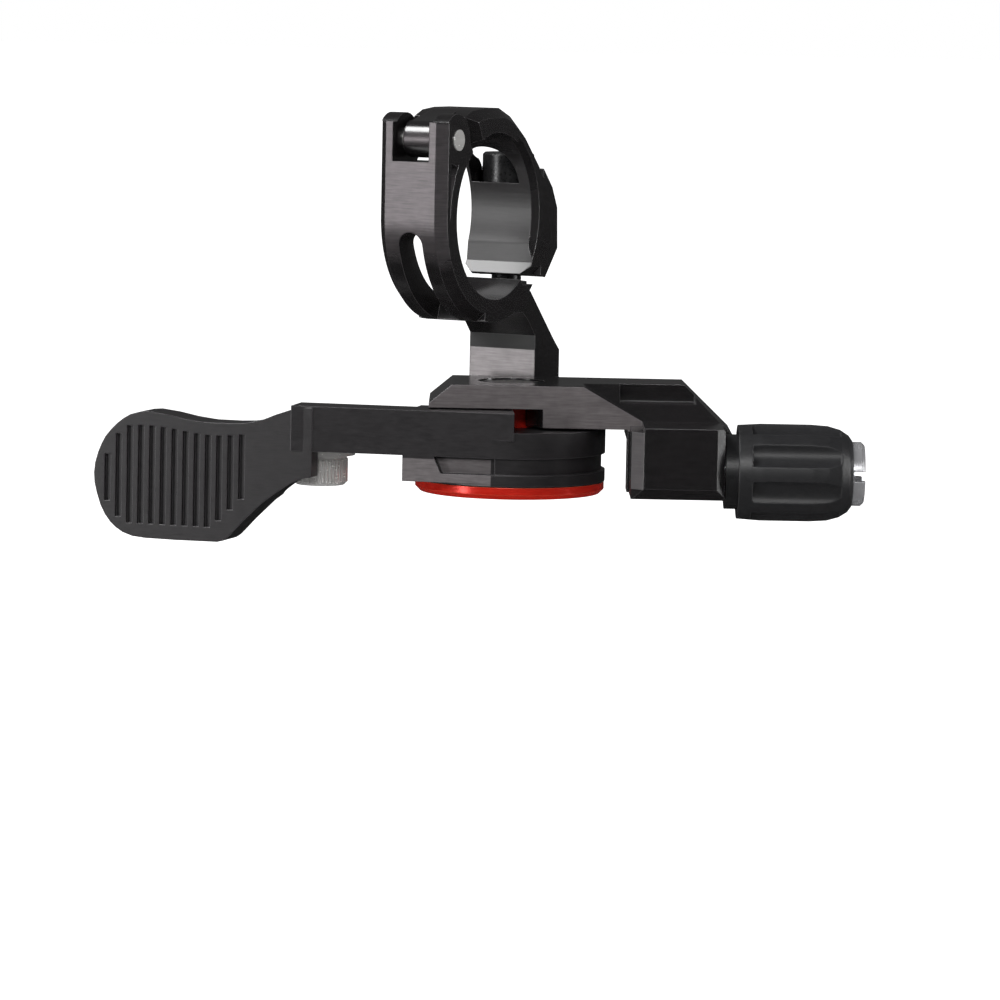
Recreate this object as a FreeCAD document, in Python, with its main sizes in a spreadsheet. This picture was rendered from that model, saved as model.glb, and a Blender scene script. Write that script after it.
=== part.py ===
import FreeCAD, Part
import math
import os
import Sketcher

# Dropper post remote lever. Millimetres. The origin is the centre of the handlebar clamp's bore,
# +Z is up along the lever's pivot, +X runs along the cable towards its housing, +Y is forwards.
# Pieces on the pivot are drawn about the pivot axis, and their bodies are placed there.

sizes = {
    # handlebar clamp, drawn in the plane across the bar: first along the plate, then up
    "bore_radius": 11.1,
    "clamp_width": 10.0,
    "clamp_turn": 28.5,          # degrees between the bar and +X
    "strap_wall": 3.0,
    "bevel": 1.25,               # broken outer edges of the strap and cap
    "ring_floor": 13.0,          # underside of the lower half below the bore's centre
    "slot_width": 3.5,
    "pin_back": 11.0,            # hinge pin, left of and above the bore's centre
    "pin_up": 10.3,
    "pin_radius": 1.4,
    "knuckle_radius": 2.75,
    "tongue_width": 4.0,
    "cap_top": 14.3,
    "lug_reach": 17.4,
    "split_up": 8.4,             # cap's lower end below the bore's centre
    "split_gap": 1.1,
    "clamp_bolt_out": 14.0,
    "clamp_bolt_aside": 1.0,
    "clamp_seat_up": 4.0,
    # neck from the lower clamp half down to the plate
    "neck_in": 11.4,
    "neck_out": 18.5,
    # plate, about the pivot axis
    "pivot_x": 6.7,
    "pivot_y": -0.6,
    "plate_top": -22.0,
    "plate_thick": 3.1,
    "plate_front": 8.1,
    "plate_back": 7.8,
    "plate_left": 10.9,
    "slope_start": 9.5,
    "slope_end": 17.3,
    "slope_drop": 4.4,
    "stop_depth": 2.45,          # how far the stop block hangs below the plate
    "stop_turn": 27.4,           # degrees from the stop's wall to the front
    "boss_left": 15.4,
    "boss_right": 27.9,
    "boss_front": 18.2,
    "boss_back": 3.0,
    "boss_bottom": -35.8,
    "shoulder_right": 29.3,
    "shoulder_deep": 7.2,
    "shoulder_level": 23.0,      # where the top starts to fall to the right
    # cable line
    "cable_y": -12.1,
    "cable_z": -32.4,
    "thread_radius": 2.5,
    "cable_hole": 1.1,
    # lever
    "hub_radius": 12.7,
    "hub_top": -27.9,
    "hub_upper": 3.4,
    "groove_width": 2.2,
    "groove_depth": 0.5,
    "flange_thick": 1.5,
    "arm_turn": 12.2,
    "arm_top": -25.3,
    "arm_thick": 8.1,
    "arm_slim": 5.6,
    "arm_end": 3.1,
    "arm_length": 27.0,
    "paddle_turn": 18.5,
    "paddle_thick": 5.1,
    "rib_count": 13,
    "rib_pitch": 1.6,
    "rib_width": 0.85,
    "rib_depth": 0.5,
    "rib_first": 51.6,           # first rib, then the two places where the ribs grow shorter
    "rib_tip": 49.4,
    "rib_heel": 36.6,
    "rib_top": 3.6,              # ends of the full ribs below the arm's top
    "rib_bottom": 16.8,
    # bearing, 6 x 15 x 5
    "bearing_bore": 3.0,
    "bearing_outer": 7.5,
    "bearing_width": 5.0,
    "ball_radius": 1.2,
    "ball_count": 8,
    "bearing_up": -34.2,         # bearing's lower face
    # pivot stack
    "sleeve_radius": 3.9,
    "cap_radius": 12.6,
    "cap_thick": 1.6,
    "cap_gap": 0.1,
    # cable pinch
    "pinch_radius": 2.0,
    "pinch_head": 3.5,
    "pinch_head_high": 4.0,
    "pinch_along": 24.6,
    "pinch_in": 7.0,
    "washer_radius": 4.6,
    "washer_thick": 0.95,
    # barrel adjuster
    "collar_radius": 4.9,
    "collar_gap": 0.15,
    "collar_width": 1.5,
    "collar_length": 4.9,
    "cover_radius": 6.35,
    "cover_length": 15.0,
    "flute_count": 8,
    "barrel_radius": 4.2,
    "barrel_end": 1.6,
    "housing_radius": 2.55,
    "spring_wire": 0.36,
    "running_gap": 0.05,
}

doc = FreeCAD.newDocument("RemoteLever")
sheet = doc.addObject("Spreadsheet::Sheet", "Dim")
for row, (alias, number) in enumerate(sizes.items(), start=1):
    cell = "A%d" % row
    sheet.set(cell, str(number))
    sheet.setAlias(cell, alias)
doc.recompute()


def value(text):
    """number that an expression on the sheet stands for"""
    return float(sheet.evalExpression(text))


def sized(text):
    """the same expression, as another object of the document writes it"""
    for alias in sorted(sizes, key=len, reverse=True):
        text = text.replace(alias, "<" + str(list(sizes).index(alias)) + ">")
    for index, alias in enumerate(sizes):
        text = text.replace("<" + str(index) + ">", "Dim." + alias)
    return text


def new_body(label, place=None, turn=None):
    """empty body, placed by (x, y, z) expressions and turned about Z"""
    body = doc.addObject("PartDesign::Body", "body_" + label)
    body.Label = label
    if turn:
        body.Placement = FreeCAD.Placement(FreeCAD.Vector(), FreeCAD.Vector(0, 0, 1), 1)
        body.setExpression("Placement.Rotation.Angle", sized(turn))
    for axis, text in zip("xyz", place or ()):
        body.setExpression("Placement.Base." + axis, sized(text))
    return body


def on_pivot(label):
    """empty body whose own origin lies on the pivot axis"""
    return new_body(label, ("pivot_x", "pivot_y", "0"))


def sketch_on(body, role, away="0", shift=("0", "0"), turn=None):
    """sketch on an origin plane, moved off it, shifted in it and turned about its upward axis"""
    plane = [item for item in body.Origin.OriginFeatures if item.Role == role][0]
    sketch = body.newObject("Sketcher::SketchObject", "sketch")
    sketch.AttachmentSupport = [(plane, "")]
    sketch.MapMode = "FlatFace"
    if turn:
        sketch.AttachmentOffset = FreeCAD.Placement(
            FreeCAD.Vector(), FreeCAD.Rotation(FreeCAD.Vector(0, 1, 0), 1))
        sketch.setExpression("AttachmentOffset.Rotation.Angle", sized(turn))
    for axis, text in zip("xyz", (shift[0], shift[1], away)):
        sketch.setExpression("AttachmentOffset.Base." + axis, sized(text))
    return sketch


def facing(body, away, turn):
    """sketch that faces the rider, turned about the pivot and moved off it along its own normal"""
    return sketch_on(body, "XZ_Plane", away="(%s) * cos(%s)" % (away, turn),
                     shift=("-(%s) * sin(%s)" % (away, turn), "0"), turn="-" + turn)


def pin_point(sketch, geometry, end, point):
    """hold one end of a line, or a centre, at its two expressions"""
    for kind, text in zip(("DistanceX", "DistanceY"), point):
        held = sketch.addConstraint(
            Sketcher.Constraint(kind, -1, 1, geometry, end, value(text)))
        sketch.setExpression("Constraints[%d]" % held, sized(text))


def outline(sketch, points):
    """closed outline of straight lines through the points"""
    places = [FreeCAD.Vector(value(across), value(up), 0) for across, up in points]
    first = sketch.GeometryCount
    count = len(points)
    for index, place in enumerate(places):
        sketch.addGeometry(Part.LineSegment(place, places[(index + 1) % count]), False)
    for index, point in enumerate(points):
        following = first + (index + 1) % count
        sketch.addConstraint(Sketcher.Constraint("Coincident", first + index, 2, following, 1))
        pin_point(sketch, first + index, 1, point)
    return sketch


def circle(sketch, centre, radius):
    """circle held at its centre, with its radius on the sheet"""
    middle = FreeCAD.Vector(value(centre[0]), value(centre[1]), 0)
    ring = sketch.addGeometry(
        Part.Circle(middle, FreeCAD.Vector(0, 0, 1), value(radius)), False)
    pin_point(sketch, ring, 3, centre)
    held = sketch.addConstraint(Sketcher.Constraint("Radius", ring, value(radius)))
    sketch.setExpression("Constraints[%d]" % held, sized(radius))
    return sketch


def pad(body, sketch, length, both=False, back=False, draw_in=0):
    """material along the sketch's normal, behind it or to both sides; draw_in narrows it as it goes"""
    feature = body.newObject("PartDesign::Pad", "pad")
    feature.Profile = sketch
    feature.Midplane = both
    feature.Reversed = back
    feature.TaperAngle = -draw_in
    feature.setExpression("Length", sized(length))
    doc.recompute()
    return feature


def pocket(body, sketch, length, both=False, back=False):
    """material taken away behind the sketch, or in front of it when back is set"""
    before = body.Shape.Volume
    feature = body.newObject("PartDesign::Pocket", "pocket")
    feature.Profile = sketch
    feature.Midplane = both
    feature.Reversed = back
    feature.setExpression("Length", sized(length))
    doc.recompute()
    if feature.Shape.isNull() or feature.Shape.Volume > before - 1e-4:
        raise ValueError("a pocket of %s cuts nothing" % body.Label)
    return feature


def turned(body, points, axis="V_Axis", cut=False):
    """outline in the XZ plane turned about one of its axes, as material or as a groove"""
    sketch = outline(sketch_on(body, "XZ_Plane"), points)
    feature = body.newObject("PartDesign::Groove" if cut else "PartDesign::Revolution", "turned")
    feature.Profile = sketch
    feature.ReferenceAxis = (sketch, [axis])
    feature.Angle = 360
    doc.recompute()
    return feature


def clamp_sketch(body, aside="0"):
    """sketch across the bar for a body on the pivot; aside moves it along the bar"""
    return sketch_on(
        body, "YZ_Plane",
        away="-pivot_x + (" + aside + ") * cos(clamp_turn)",
        shift=("-pivot_y - (" + aside + ") * sin(clamp_turn)", "0"),
        turn="-clamp_turn")


def bevelled(body, make_sketch, width="clamp_width"):
    """straight pad along the bar whose outline draws in by the bevel at both ends"""
    pad(body, make_sketch("0"), "%s - 2 * bevel" % width, both=True)
    for side in (1, -1):
        rim = make_sketch("%d * (%s / 2 - bevel)" % (side, width))
        pad(body, rim, "bevel", back=side < 0, draw_in=45)


def clamp_plan(out, aside):
    """plan point about the pivot, from its reach and its place along the bar"""
    return (
        "-pivot_x + (%s) * sin(clamp_turn) + (%s) * cos(clamp_turn)" % (out, aside),
        "-pivot_y + (%s) * cos(clamp_turn) - (%s) * sin(clamp_turn)" % (out, aside))


def make_bracket():
    """plate, stop block, cable boss, neck and the fixed half of the clamp, machined as one"""
    body = on_pivot("bracket")
    stop_level = "plate_top - plate_thick - stop_depth"
    plate = outline(sketch_on(body, "XZ_Plane", away="-plate_back"), [
        ("-plate_left", stop_level),
        ("-plate_left", "plate_top - 2.5"),
        ("-plate_left + 3.0", "plate_top"),
        ("slope_start", "plate_top"),
        ("slope_end", "plate_top - slope_drop"),
        ("slope_end", stop_level)])
    pad(body, plate, "plate_front + plate_back")
    shoulder = outline(sketch_on(body, "YZ_Plane", away="slope_start - 1.5"), [
        ("-2.5", "plate_top"),
        ("plate_back", "plate_top"),
        ("plate_back", stop_level),
        ("-plate_front", stop_level),
        ("-plate_front", "plate_top - slope_drop")])
    pad(body, shoulder, "shoulder_right - slope_start + 1.5")
    block = outline(sketch_on(body, "XY_Plane", away="plate_top - shoulder_deep"), [
        ("boss_left", "-plate_front"),
        ("shoulder_right", "-plate_front"),
        ("shoulder_right", "plate_back"),
        ("boss_left", "plate_back")])
    pad(body, block, "shoulder_deep - slope_drop")
    boss = outline(sketch_on(body, "XY_Plane", away="boss_bottom"), [
        ("boss_left", "-boss_back"),
        ("boss_left", "-plate_front"),
        ("slope_end", "-plate_front"),
        ("slope_end", "-boss_front"),
        ("boss_right", "-boss_front"),
        ("boss_right", "-boss_back")])
    pad(body, boss, "plate_top - slope_drop - boss_bottom")
    falling = outline(sketch_on(body, "XZ_Plane"), [
        ("shoulder_level", "plate_top"),
        ("shoulder_right + 1", "plate_top - (shoulder_right + 1 - shoulder_level) * 0.96"),
        ("shoulder_right + 1", "plate_top + 1"),
        ("shoulder_level", "plate_top + 1")])
    pocket(body, falling, "6 * plate_back", both=True)
    under = outline(sketch_on(body, "XY_Plane", away=stop_level), [
        ("0", "0"),
        ("2 * plate_front * tan(stop_turn)", "-2 * plate_front"),
        ("-2 * plate_left", "-2 * plate_front"),
        ("-2 * plate_left", "2 * plate_back"),
        ("0", "2 * plate_back")])
    pocket(body, under, "stop_depth", back=True)
    seat = circle(sketch_on(body, "XY_Plane", away=stop_level), ("0", "0"), "sleeve_radius + 0.3")
    pocket(body, seat, "stop_depth", back=True)

    tongue = outline(sketch_on(body, "XY_Plane", away="plate_top - plate_thick"), [
        ("-plate_left + 3.0", "plate_back - 1"),
        ("slope_start", "plate_back - 1"),
        clamp_plan("neck_out", "clamp_width / 2"),
        clamp_plan("neck_out", "-clamp_width / 2"),
        clamp_plan("neck_in", "-clamp_width / 2")])
    pad(body, tongue, "plate_thick - 0.5")

    ring = circle(clamp_sketch(body), ("0", "0"), "bore_radius + strap_wall")
    pad(body, ring, "clamp_width", both=True)
    neck_foot = "plate_top - 1"
    neck = outline(clamp_sketch(body), [
        ("-3", "-bore_radius - 0.8"),
        ("-0.5", "-ring_floor"),
        ("7.6", "-ring_floor - 0.1"),
        ("9.3", "-ring_floor - 1.3"),
        ("neck_in", "-ring_floor - 3.5"),
        ("neck_in", neck_foot),
        ("neck_out", neck_foot),
        ("neck_out", "-ring_floor - 5.8"),
        ("16.7", "-ring_floor - 4.2"),
        ("9.9", "-split_up - split_gap - 1"),
        ("8.2", "-split_up - split_gap")])
    pad(body, neck, "clamp_width", both=True)
    bolt_lug = circle(sketch_on(body, "XY_Plane", away="-split_up - split_gap"),
                      clamp_plan("clamp_bolt_out", "-clamp_bolt_aside"), "pinch_radius + 0.8")
    pad(body, bolt_lug, "ring_floor - split_up + 2", back=True)
    cap_side = outline(clamp_sketch(body), [
        ("0", "0"),
        ("-pin_back * 1.5", "pin_up * 2"),
        ("-pin_back * 1.5", "pin_up * 3"),
        ("pin_back * 2", "pin_up * 3"),
        ("pin_back * 2", "-split_up - split_gap"),
        ("7.5", "-split_up - split_gap")])
    pocket(body, cap_side, "clamp_width * 2", both=True)
    knuckle = circle(clamp_sketch(body), ("-pin_back", "pin_up"), "knuckle_radius")
    pad(body, knuckle, "clamp_width", both=True)
    root = outline(clamp_sketch(body), [
        ("-pin_back - knuckle_radius + 0.6", "pin_up + 0.9"),
        ("-bore_radius - strap_wall + 0.1", "pin_up - 3.6"),
        ("-bore_radius - strap_wall + 0.15", "-0.5"),
        ("-bore_radius + 0.6", "-0.5"),
        ("-pin_back + 1", "pin_up - 2.2")])
    pad(body, root, "clamp_width", both=True)
    bore = circle(clamp_sketch(body), ("0", "0"), "bore_radius")
    pocket(body, bore, "clamp_width * 2", both=True)
    tongue_space = outline(clamp_sketch(body), [
        ("-pin_back - 4", "pin_up - 2.9"),
        ("-pin_back + 4", "pin_up - 2.9"),
        ("-pin_back + 4", "pin_up + 4"),
        ("-pin_back - 4", "pin_up + 4")])
    pocket(body, tongue_space, "tongue_width + 1.4", both=True)
    pin_hole = circle(clamp_sketch(body), ("-pin_back", "pin_up"), "pin_radius")
    pocket(body, pin_hole, "clamp_width * 2", both=True)
    slot = outline(clamp_sketch(body), [
        ("0", "-3.6"),
        ("-2 * bore_radius", "-3.6"),
        ("-2 * bore_radius", "-2 * bore_radius"),
        ("-0.62 * bore_radius", "-2 * bore_radius")])
    pocket(body, slot, "slot_width", both=True)
    slot_end = circle(sketch_on(
        body, "XZ_Plane", away="pivot_y", shift=("-pivot_x", "0"), turn="-clamp_turn"),
        ("0", "-3.6"), "slot_width / 2")
    pocket(body, slot_end, "bore_radius * 2", back=True)

    bolt_hole = circle(sketch_on(body, "XY_Plane", away="-split_up"),
                       clamp_plan("clamp_bolt_out", "-clamp_bolt_aside"), "pinch_radius + 0.02")
    pocket(body, bolt_hole, "ring_floor")
    axle_hole = circle(sketch_on(body, "XY_Plane", away="plate_top + 1"), ("0", "0"), "bearing_bore + 0.01")
    pocket(body, axle_hole, "plate_thick + stop_depth + 2")
    head_seat = circle(sketch_on(body, "XY_Plane", away="plate_top + 1"),
                       ("0", "0"), "bearing_bore + 1.5")
    pocket(body, head_seat, "2.2")
    thread = circle(sketch_on(body, "YZ_Plane", away="boss_right + 1"),
                    ("cable_y", "cable_z"), "thread_radius + running_gap")
    pocket(body, thread, "boss_right - boss_left - 1")
    cable = circle(sketch_on(body, "YZ_Plane", away="boss_right + 1"),
                   ("cable_y", "cable_z"), "cable_hole")
    pocket(body, cable, "boss_right - boss_left + 3")
    key = circle(sketch_on(body, "YZ_Plane", away="boss_right + 1"),
                 ("cable_y", "cable_z + 4.45"), "0.6")
    pocket(body, key, "9")
    break_strap(body)


def break_strap(body):
    """bevels along the strap: straight beside the hinge, then turned around the bore"""
    outer = "-bore_radius - strap_wall"
    for side in ("", "-"):
        profile = [
            clamp_plan(outer + " - 1", side + "(clamp_width / 2 + 1)"),
            clamp_plan(outer + " + bevel + 1", side + "(clamp_width / 2 + 1)"),
            clamp_plan(outer + " - 1", side + "(clamp_width / 2 - bevel - 1)")]
        pocket(body, outline(sketch_on(body, "XY_Plane"), profile), "2 * pin_up", back=True)
        rim = outline(sketch_on(body, "XY_Plane"), profile)
        ends = [clamp_plan("0", "-clamp_width"), clamp_plan("0", "clamp_width")]
        places = [FreeCAD.Vector(value(across), value(up), 0) for across, up in ends]
        middle = rim.addGeometry(Part.LineSegment(*places), True)
        for end, point in enumerate(ends, start=1):
            pin_point(rim, middle, end, point)
        groove = body.newObject("PartDesign::Groove", "rim")
        groove.Profile = rim
        groove.ReferenceAxis = (rim, ["Axis0"])
        groove.Angle = 100
        groove.Reversed = True
        doc.recompute()


def make_clamp_cap():
    """hinged half of the clamp with its tongue, bolt lug and slotted bolt seat"""
    body = new_body("clamp_cap", turn="-clamp_turn")
    bevelled(body, lambda aside: outline(sketch_on(body, "YZ_Plane", away=aside), [
        ("-4.6", "8"),
        ("-7.3", "cap_top - 1.1"),
        ("-5.2", "cap_top - 0.3"),
        ("-2", "cap_top"),
        ("2.1", "cap_top"),
        ("5.4", "cap_top - 1.2"),
        ("8.3", "cap_top - 3.1"),
        ("12.5", "cap_top - 7.1"),
        ("lug_reach - 0.7", "cap_top - 12"),
        ("lug_reach", "cap_top - 14"),
        ("lug_reach", "-split_up + 3.4"),
        ("lug_reach - 3.3", "-split_up"),
        ("9.4", "-split_up"),
        ("7", "-split_up + 1.4")]))
    tongue = outline(sketch_on(body, "YZ_Plane"), [
        ("-pin_back", "pin_up + knuckle_radius - 0.3"),
        ("-6.5", "cap_top - 0.4"),
        ("-6", "9.9"),
        ("-pin_back + 0.9", "pin_up - knuckle_radius + 0.5")])
    pad(body, tongue, "tongue_width", both=True)
    eye = circle(sketch_on(body, "YZ_Plane"), ("-pin_back", "pin_up"), "knuckle_radius - 0.3")
    pad(body, eye, "tongue_width", both=True)
    pin_hole = circle(sketch_on(body, "YZ_Plane"), ("-pin_back", "pin_up"),
                      "pin_radius + running_gap")
    pocket(body, pin_hole, "clamp_width * 2", both=True)
    bore = circle(sketch_on(body, "YZ_Plane"), ("0", "0"), "bore_radius")
    pocket(body, bore, "clamp_width * 2", both=True)
    seat_room = "pinch_head + 0.15"
    bolt_room = "pinch_radius + 0.25"
    for name, radius, inner, outer, level, depth in (
            ("seat", seat_room, "clamp_bolt_out - 3.7", "clamp_bolt_out", "cap_top + 1",
             "cap_top + 1 - clamp_seat_up"),
            ("shank", bolt_room, "clamp_bolt_out", "clamp_bolt_out + 0.3", "clamp_seat_up + 1",
             "clamp_seat_up + split_up + 2")):
        for across in (inner, outer):
            round_end = circle(sketch_on(body, "XY_Plane", away=level),
                               ("-clamp_bolt_aside", across), radius)
            pocket(body, round_end, depth)
        if name == "seat":
            between = outline(sketch_on(body, "XY_Plane", away=level), [
                ("-clamp_bolt_aside - " + radius, inner),
                ("-clamp_bolt_aside - " + radius, outer),
                ("-clamp_bolt_aside + " + radius, outer),
                ("-clamp_bolt_aside + " + radius, inner)])
            pocket(body, between, depth)


def make_lever():
    """hub with its cable groove, arm, cable block and ribbed thumb paddle, machined as one"""
    body = on_pivot("lever")
    groove_top = "hub_top - hub_upper"
    flange_top = "hub_top - hub_upper - groove_width"
    hub_bottom = "hub_top - hub_upper - groove_width - flange_thick"
    bearing_top = "bearing_up + bearing_width"
    turned(body, [
        ("0", "hub_top"),
        ("hub_radius", "hub_top"),
        ("hub_radius", groove_top),
        ("hub_radius - groove_depth", groove_top),
        ("hub_radius - groove_depth", flange_top),
        ("hub_radius", flange_top),
        ("hub_radius", hub_bottom),
        ("0", hub_bottom)])
    heel = outline(facing(body, "hub_radius - arm_thick", "arm_turn"), [
        ("arm_end", "arm_top"),
        ("arm_end", "hub_top - 1"),
        ("-hub_radius + 1.5", "hub_top - 1"),
        ("-hub_radius + 1.5", "arm_top")])
    pad(body, heel, "arm_thick")
    arm = outline(facing(body, "hub_radius - arm_slim", "arm_turn"), [
        ("0", "arm_top"),
        ("0", groove_top),
        ("-arm_length", groove_top),
        ("-arm_length", "arm_top")])
    pad(body, arm, "arm_slim")
    end = outline(sketch_on(body, "XY_Plane", away="hub_top"), [
        ("0", "0"),
        ("0.032 * 2 * hub_radius", "-2 * hub_radius"),
        ("2 * hub_radius", "-2 * hub_radius"),
        ("2 * hub_radius", "0")])
    pocket(body, end, "arm_top - hub_top", back=True)
    block = outline(facing(body, "hub_radius - arm_thick", "arm_turn"), [
        ("0", groove_top),
        ("0", hub_bottom + " + 0.3"),
        ("-11.8", hub_bottom + " + 0.3"),
        ("-11.8", groove_top)])
    pad(body, block, "arm_thick")
    channel = outline(facing(body, "hub_radius", "arm_turn"), [
        ("0.5", groove_top),
        ("0.5", flange_top),
        ("-6.6", flange_top),
        ("-7.6", groove_top)])
    pocket(body, channel, "1.2")
    bend = "(paddle_turn - arm_turn)"
    face = "hub_radius * cos%s + 25.3 * sin%s" % (bend, bend)
    paddle = outline(facing(body, face + " - paddle_thick", "paddle_turn"), [
        ("-22.5", "arm_top - 0.2"),
        ("-24.2", "arm_top - 0.3"),
        ("-25.6", "arm_top - 0.6"),
        ("-27.6", "arm_top - 1.3"),
        ("-29.3", "arm_top - 2"),
        ("-30.7", "arm_top - 2.4"),
        ("-32.3", "arm_top - 2.7"),
        ("-34.3", "arm_top - 2.8"),
        ("-37.8", "arm_top - 2.8"),
        ("-40.5", "arm_top - 2.5"),
        ("-43.2", "arm_top - 2"),
        ("-45.8", "arm_top - 1.7"),
        ("-47", "arm_top - 1.8"),
        ("-48.4", "arm_top - 2.2"),
        ("-49.4", "arm_top - 2.8"),
        ("-50.3", "arm_top - 3.5"),
        ("-51.2", "arm_top - 4.4"),
        ("-51.95", "arm_top - 5.3"),
        ("-52.5", "arm_top - 6.3"),
        ("-53", "arm_top - 7.5"),
        ("-53.4", "arm_top - 8.9"),
        ("-53.55", "arm_top - 10.3"),
        ("-53.45", "arm_top - 11.6"),
        ("-53.1", "arm_top - 13"),
        ("-52.55", "arm_top - 14.6"),
        ("-51.9", "arm_top - 15.8"),
        ("-51.1", "arm_top - 16.8"),
        ("-50.3", "arm_top - 17.5"),
        ("-49.3", "arm_top - 18.1"),
        ("-47.9", "arm_top - 18.55"),
        ("-46", "arm_top - 18.72"),
        ("-41.7", "arm_top - 18.76"),
        ("-35.7", "arm_top - 18.7"),
        ("-34.9", "arm_top - 18.5"),
        ("-34.3", "arm_top - 18.1"),
        ("-33.6", "arm_top - 17.4"),
        ("-32.1", "arm_top - 15.8"),
        ("-29.4", "arm_top - 13.2"),
        ("-27.4", "arm_top - 11.7"),
        ("-25.3", "arm_top - 10.3"),
        ("-24.2", "arm_top - 9.8"),
        ("-22.5", "arm_top - 9.4")])
    pad(body, paddle, "paddle_thick")
    ribs = facing(body, face, "paddle_turn")
    for index in range(int(value("rib_count"))):
        across = "-rib_first + %d * rib_pitch" % index
        place = value(across)
        past_tip = max(0, -place - value("rib_tip"))
        past_heel = max(0, place + value("rib_heel"))
        high = value("arm_top - rib_top") - 0.9 * math.sin((place + 46) * 0.16) ** 2 - past_tip * 1.6
        low = value("arm_top - rib_bottom") + past_tip * 1.3 + past_heel * 0.95
        outline(ribs, [
            ("%s - rib_width / 2" % across, "%.2f" % low),
            ("%s + rib_width / 2" % across, "%.2f" % low),
            ("%s + rib_width / 2" % across, "%.2f" % high),
            ("%s - rib_width / 2" % across, "%.2f" % high)])
    pocket(body, ribs, "rib_depth")
    head_room = circle(sketch_on(body, "XY_Plane", away=groove_top),
                       pinch_place(), "washer_radius + 0.25")
    pocket(body, head_room, "2 * arm_thick")
    pinch_boss = circle(sketch_on(body, "XY_Plane", away=groove_top),
                        pinch_place(), "washer_radius")
    pad(body, pinch_boss, "arm_top - 2.6 - (%s)" % groove_top)
    pinch = circle(sketch_on(body, "XY_Plane", away="hub_top - hub_upper - 5"),
                   pinch_place(), "pinch_radius + 0.02")
    pocket(body, pinch, "9", back=True)
    turned(body, [
        ("0", "arm_top + 1"),
        ("sleeve_radius + 0.5", "arm_top + 1"),
        ("sleeve_radius + 0.5", bearing_top + " + 0.3"),
        ("bearing_outer - 1", bearing_top + " + 0.3"),
        ("bearing_outer - 1", bearing_top),
        ("bearing_outer", bearing_top),
        ("bearing_outer", "bearing_up - 0.05"),
        ("bearing_outer + 0.5", "bearing_up - 0.05"),
        ("bearing_outer + 0.5", "bearing_up - 0.75"),
        ("bearing_outer", "bearing_up - 0.75"),
        ("bearing_outer", hub_bottom + " - 1"),
        ("0", hub_bottom + " - 1")], cut=True)


def pinch_place():
    """plan point of the cable pinch bolt about the pivot"""
    depth = "(hub_radius - pinch_in)"
    along = "pinch_along"
    return (
        "-%s * sin(arm_turn) - %s * cos(arm_turn)" % (depth, along),
        "-%s * cos(arm_turn) + %s * sin(arm_turn)" % (depth, along))


def make_pivot_stack():
    """axle, red sleeve, bearing, washer, retaining ring, red cap and its screw"""
    top = "plate_top - plate_thick"
    bearing_top = "bearing_up + bearing_width"
    cap_top = "hub_top - hub_upper - groove_width - flange_thick - cap_gap"
    turned(on_pivot("pivot_axle"), [
        ("0", "plate_top - 0.2"),
        ("bearing_bore + 1.5", "plate_top - 0.2"),
        ("bearing_bore + 1.5", "plate_top - 1.2"),
        ("bearing_bore", "plate_top - 1.2"),
        ("bearing_bore", cap_top),
        ("1.7", cap_top),
        ("1.7", "bearing_up + 3"),
        ("0", "bearing_up + 4")])
    turned(on_pivot("pivot_sleeve"), [
        ("bearing_bore", top),
        ("sleeve_radius", top),
        ("sleeve_radius", bearing_top),
        ("bearing_bore", bearing_top)])
    middle = "bearing_up + bearing_width / 2"
    pitch = "((bearing_bore + bearing_outer) / 2)"
    for label, inner, outer in (
            ("bearing_inner_ring", "bearing_bore", "bearing_bore + 1.15"),
            ("bearing_outer_ring", "bearing_outer - 1.15", "bearing_outer")):
        body = on_pivot(label)
        turned(body, [
            (inner, "bearing_up"),
            (outer, "bearing_up"),
            (outer, bearing_top),
            (inner, bearing_top)])
        race = circle(sketch_on(body, "XZ_Plane"), (pitch, middle), "ball_radius + running_gap")
        groove = body.newObject("PartDesign::Groove", "race")
        groove.Profile = race
        groove.ReferenceAxis = (race, ["V_Axis"])
        groove.Angle = 360
    for label, low in (
            ("bearing_shield_top", bearing_top + " - 0.4"),
            ("bearing_shield_bottom", "bearing_up + 0.1")):
        turned(on_pivot(label), [
            ("bearing_bore + 1.3", low),
            ("bearing_outer - 1.15", low),
            ("bearing_outer - 1.15", low + " + 0.3"),
            ("bearing_bore + 1.3", low + " + 0.3")])
    make_balls(middle, pitch)
    turned(on_pivot("retaining_ring"), [
        ("bearing_outer - 1", "bearing_up - 0.05"),
        ("bearing_outer + 0.5", "bearing_up - 0.05"),
        ("bearing_outer + 0.5", "bearing_up - 0.75"),
        ("bearing_outer - 1", "bearing_up - 0.75")])
    turned(on_pivot("thrust_washer"), [
        ("bearing_bore", "bearing_up"),
        ("bearing_bore + 1.2", "bearing_up"),
        ("bearing_bore + 1.2", cap_top),
        ("bearing_bore", cap_top)])
    cap = on_pivot("pivot_cap")
    cap_bottom = cap_top + " - cap_thick"
    turned(cap, [
        ("2.1", cap_top),
        ("9.4", cap_top),
        ("9.4", cap_top + " - 0.7"),
        ("10.6", cap_top + " - 0.7"),
        ("10.6", cap_top),
        ("cap_radius", cap_top),
        ("cap_radius", cap_bottom + " + 0.6"),
        ("cap_radius - 0.6", cap_bottom),
        ("3.9", cap_bottom),
        ("2.1", cap_bottom + " + 1.2")])
    turned(on_pivot("pivot_screw"), [
        ("0", cap_bottom + " + 0.05"),
        ("3.75", cap_bottom + " + 0.05"),
        ("1.95", cap_bottom + " + 1.25"),
        ("1.7", cap_top),
        ("1.7", "bearing_up + 2.5"),
        ("0", "bearing_up + 2.5")])
    seal = on_pivot("cap_seal")
    section = circle(sketch_on(seal, "XZ_Plane"), ("10", cap_top + " - 0.3"), "0.35")
    turn = seal.newObject("PartDesign::Revolution", "turned")
    turn.Profile = section
    turn.ReferenceAxis = (section, ["V_Axis"])
    turn.Angle = 360
    doc.recompute()


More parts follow.
